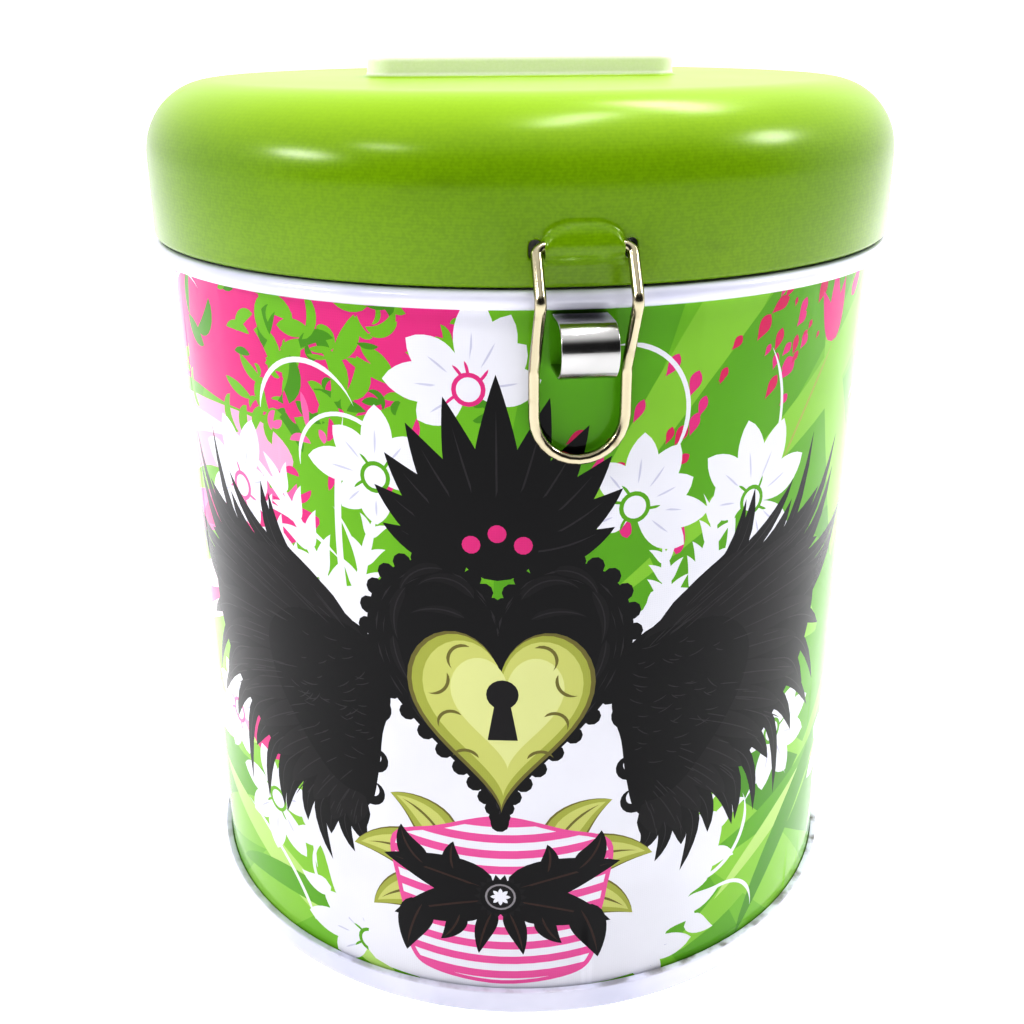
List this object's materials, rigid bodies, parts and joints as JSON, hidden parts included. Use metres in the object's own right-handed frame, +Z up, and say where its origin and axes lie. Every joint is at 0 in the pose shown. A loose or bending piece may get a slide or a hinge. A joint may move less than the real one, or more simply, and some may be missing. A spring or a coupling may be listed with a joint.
{
  "type": "tin money box",
  "caption": "Round tinplate money box with a hinged domed-edge lid, a raised coin slot in the lid, a bead round the body and a wire bail latch over a rolled strap.",
  "frame": {"origin": "centre of the flat ring that the tin stands on", "axes": "+Z up along the tin's axis, -Y towards the wire latch, +Y towards the hinge"},
  "size_m": [0.0872, 0.0938, 0.1038],
  "materials": {
    "printed_tinplate": "tinplate about 0.3 mm thick, printed in flat inks under a clear gloss varnish, white on the bead and neck",
    "white_tinplate": "white lacquered tinplate, scuffed bare along its lower edge",
    "green_tinplate": "glossy yellow-green lacquer with a faint printed grain",
    "bright_tinplate": "bright bare tinplate",
    "bright_wire": "bright nickel-plated steel wire"
  },
  "bodies": {
    "tin_body": {"body_shell": "printed_tinplate", "base_end": "white_tinplate", "latch_keeper": "bright_tinplate", "hinge_strap": "bright_tinplate"},
    "lid": {"lid_shell": "green_tinplate", "hinge_wire": "bright_wire"},
    "latch_bail": {"latch_bail": "bright_wire"}
  },
  "joints": [
    {"name": "lid_hinge", "type": "hinge", "parent": "tin_body", "child": "lid", "pos_m": [0, 0.0452, 0.0807], "axis": [-1, 0, 0], "range_deg": [0, 105]},
    {"name": "bail_swing", "type": "hinge", "parent": "lid", "child": "latch_bail", "pos_m": [0, -0.04335, 0.0884], "axis": [-1, 0, 0], "range_deg": [0, 130]}
  ]
}
